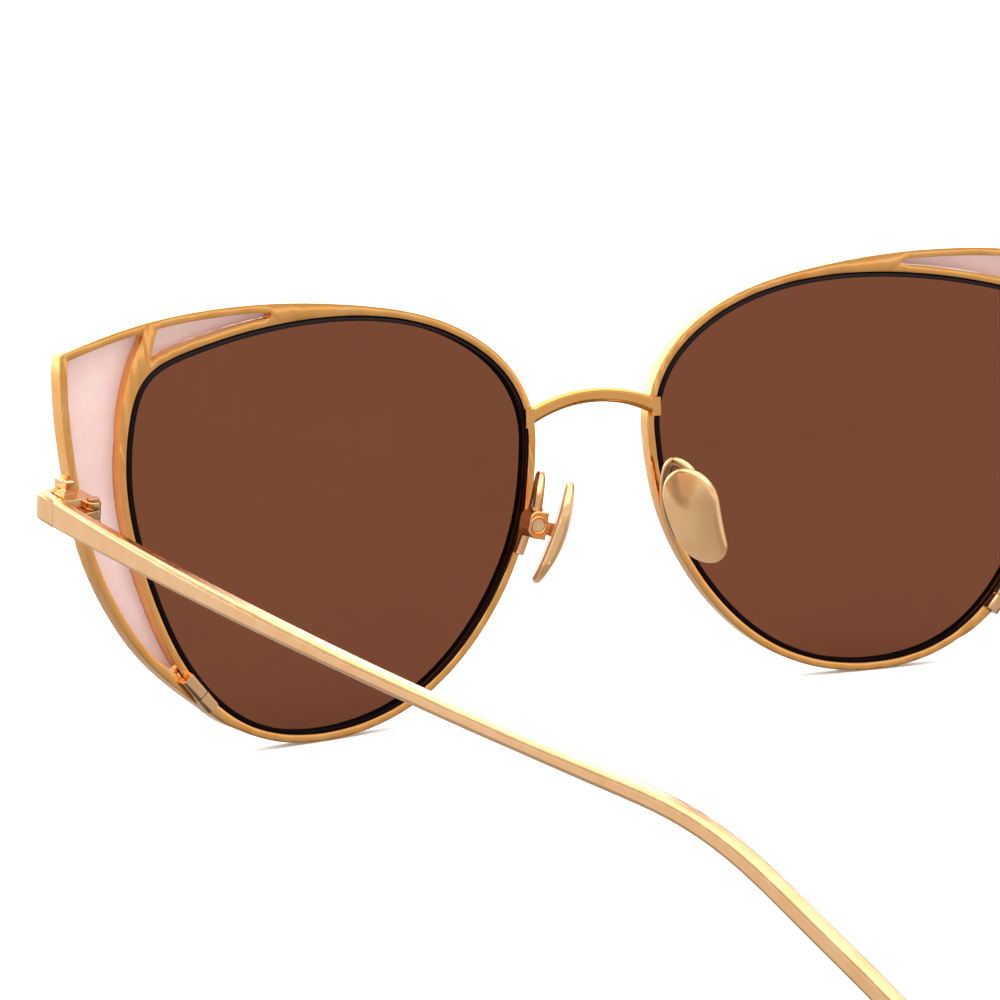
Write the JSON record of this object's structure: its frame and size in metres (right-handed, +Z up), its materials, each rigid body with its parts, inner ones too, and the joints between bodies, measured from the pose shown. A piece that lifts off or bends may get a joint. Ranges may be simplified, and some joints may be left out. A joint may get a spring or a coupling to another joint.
{
  "type": "cat eye sunglasses",
  "caption": "Cat eye sunglasses with gold metal wing rims round pale inlays, bowed brown lenses, rocking nose pads and slim folding temples.",
  "frame": {"origin": "centre of the footprint on the surface the open glasses stand on, under the middle of the whole", "axes": "+X towards the wearer's left, +Y from the front towards the wearer's ears, +Z up; the plane of the front leans back 1.6 degrees"},
  "size_m": [0.153, 0.1504, 0.0538],
  "materials": {
    "gold_metal": "polished pale gold plating",
    "lens": "brown tinted, gloss",
    "inlay": "pale pink, gloss",
    "screw_steel": "bright steel"
  },
  "bodies": {
    "front": {"bridge": "gold_metal", "eyewire_left": "gold_metal", "lens_left": "lens", "inlay_outer_left": "inlay", "inlay_upper_left": "inlay", "rim_lock_upper_left": "gold_metal", "rim_lock_lower_left": "gold_metal", "rim_lock_screw_left": "gold_metal", "pad_arm_left": "gold_metal", "pad_box_left": "gold_metal", "pad_screw_left": "screw_steel", "end_piece_left": "gold_metal", "hinge_front_left": "gold_metal", "hinge_screw_left": "gold_metal", "eyewire_right": "gold_metal", "lens_right": "lens", "inlay_outer_right": "inlay", "inlay_upper_right": "inlay", "rim_lock_upper_right": "gold_metal", "rim_lock_lower_right": "gold_metal", "rim_lock_screw_right": "gold_metal", "pad_arm_right": "gold_metal", "pad_box_right": "gold_metal", "pad_screw_right": "screw_steel", "end_piece_right": "gold_metal", "hinge_front_right": "gold_metal", "hinge_screw_right": "gold_metal"},
    "temple_left": {"temple_left": "gold_metal", "hinge_temple_left": "gold_metal"},
    "pad_left": {"nose_pad_left": "gold_metal"},
    "temple_right": {"temple_right": "gold_metal", "hinge_temple_right": "gold_metal"},
    "pad_right": {"nose_pad_right": "gold_metal"}
  },
  "joints": [
    {"name": "temple_fold_left", "type": "hinge", "parent": "front", "child": "temple_left", "pos_m": [0.07152, -0.06043, 0.03261], "axis": [-0.0194, 0.1405, 0.9899], "range_deg": [0, 73]},
    {"name": "temple_fold_right", "type": "hinge", "parent": "front", "child": "temple_right", "pos_m": [-0.07152, -0.06043, 0.03261], "axis": [-0.0194, -0.1405, -0.9899], "range_deg": [0, 77]},
    {"name": "pad_rock_left", "type": "hinge", "parent": "front", "child": "pad_left", "pos_m": [0.01186, -0.06584, 0.02463], "axis": [0.0349, 0.999, 0.0272], "range_deg": [-8, 8]},
    {"name": "pad_rock_right", "type": "hinge", "parent": "front", "child": "pad_right", "pos_m": [-0.01186, -0.06584, 0.02463], "axis": [-0.0349, 0.999, 0.0272], "range_deg": [-8, 8]}
  ]
}
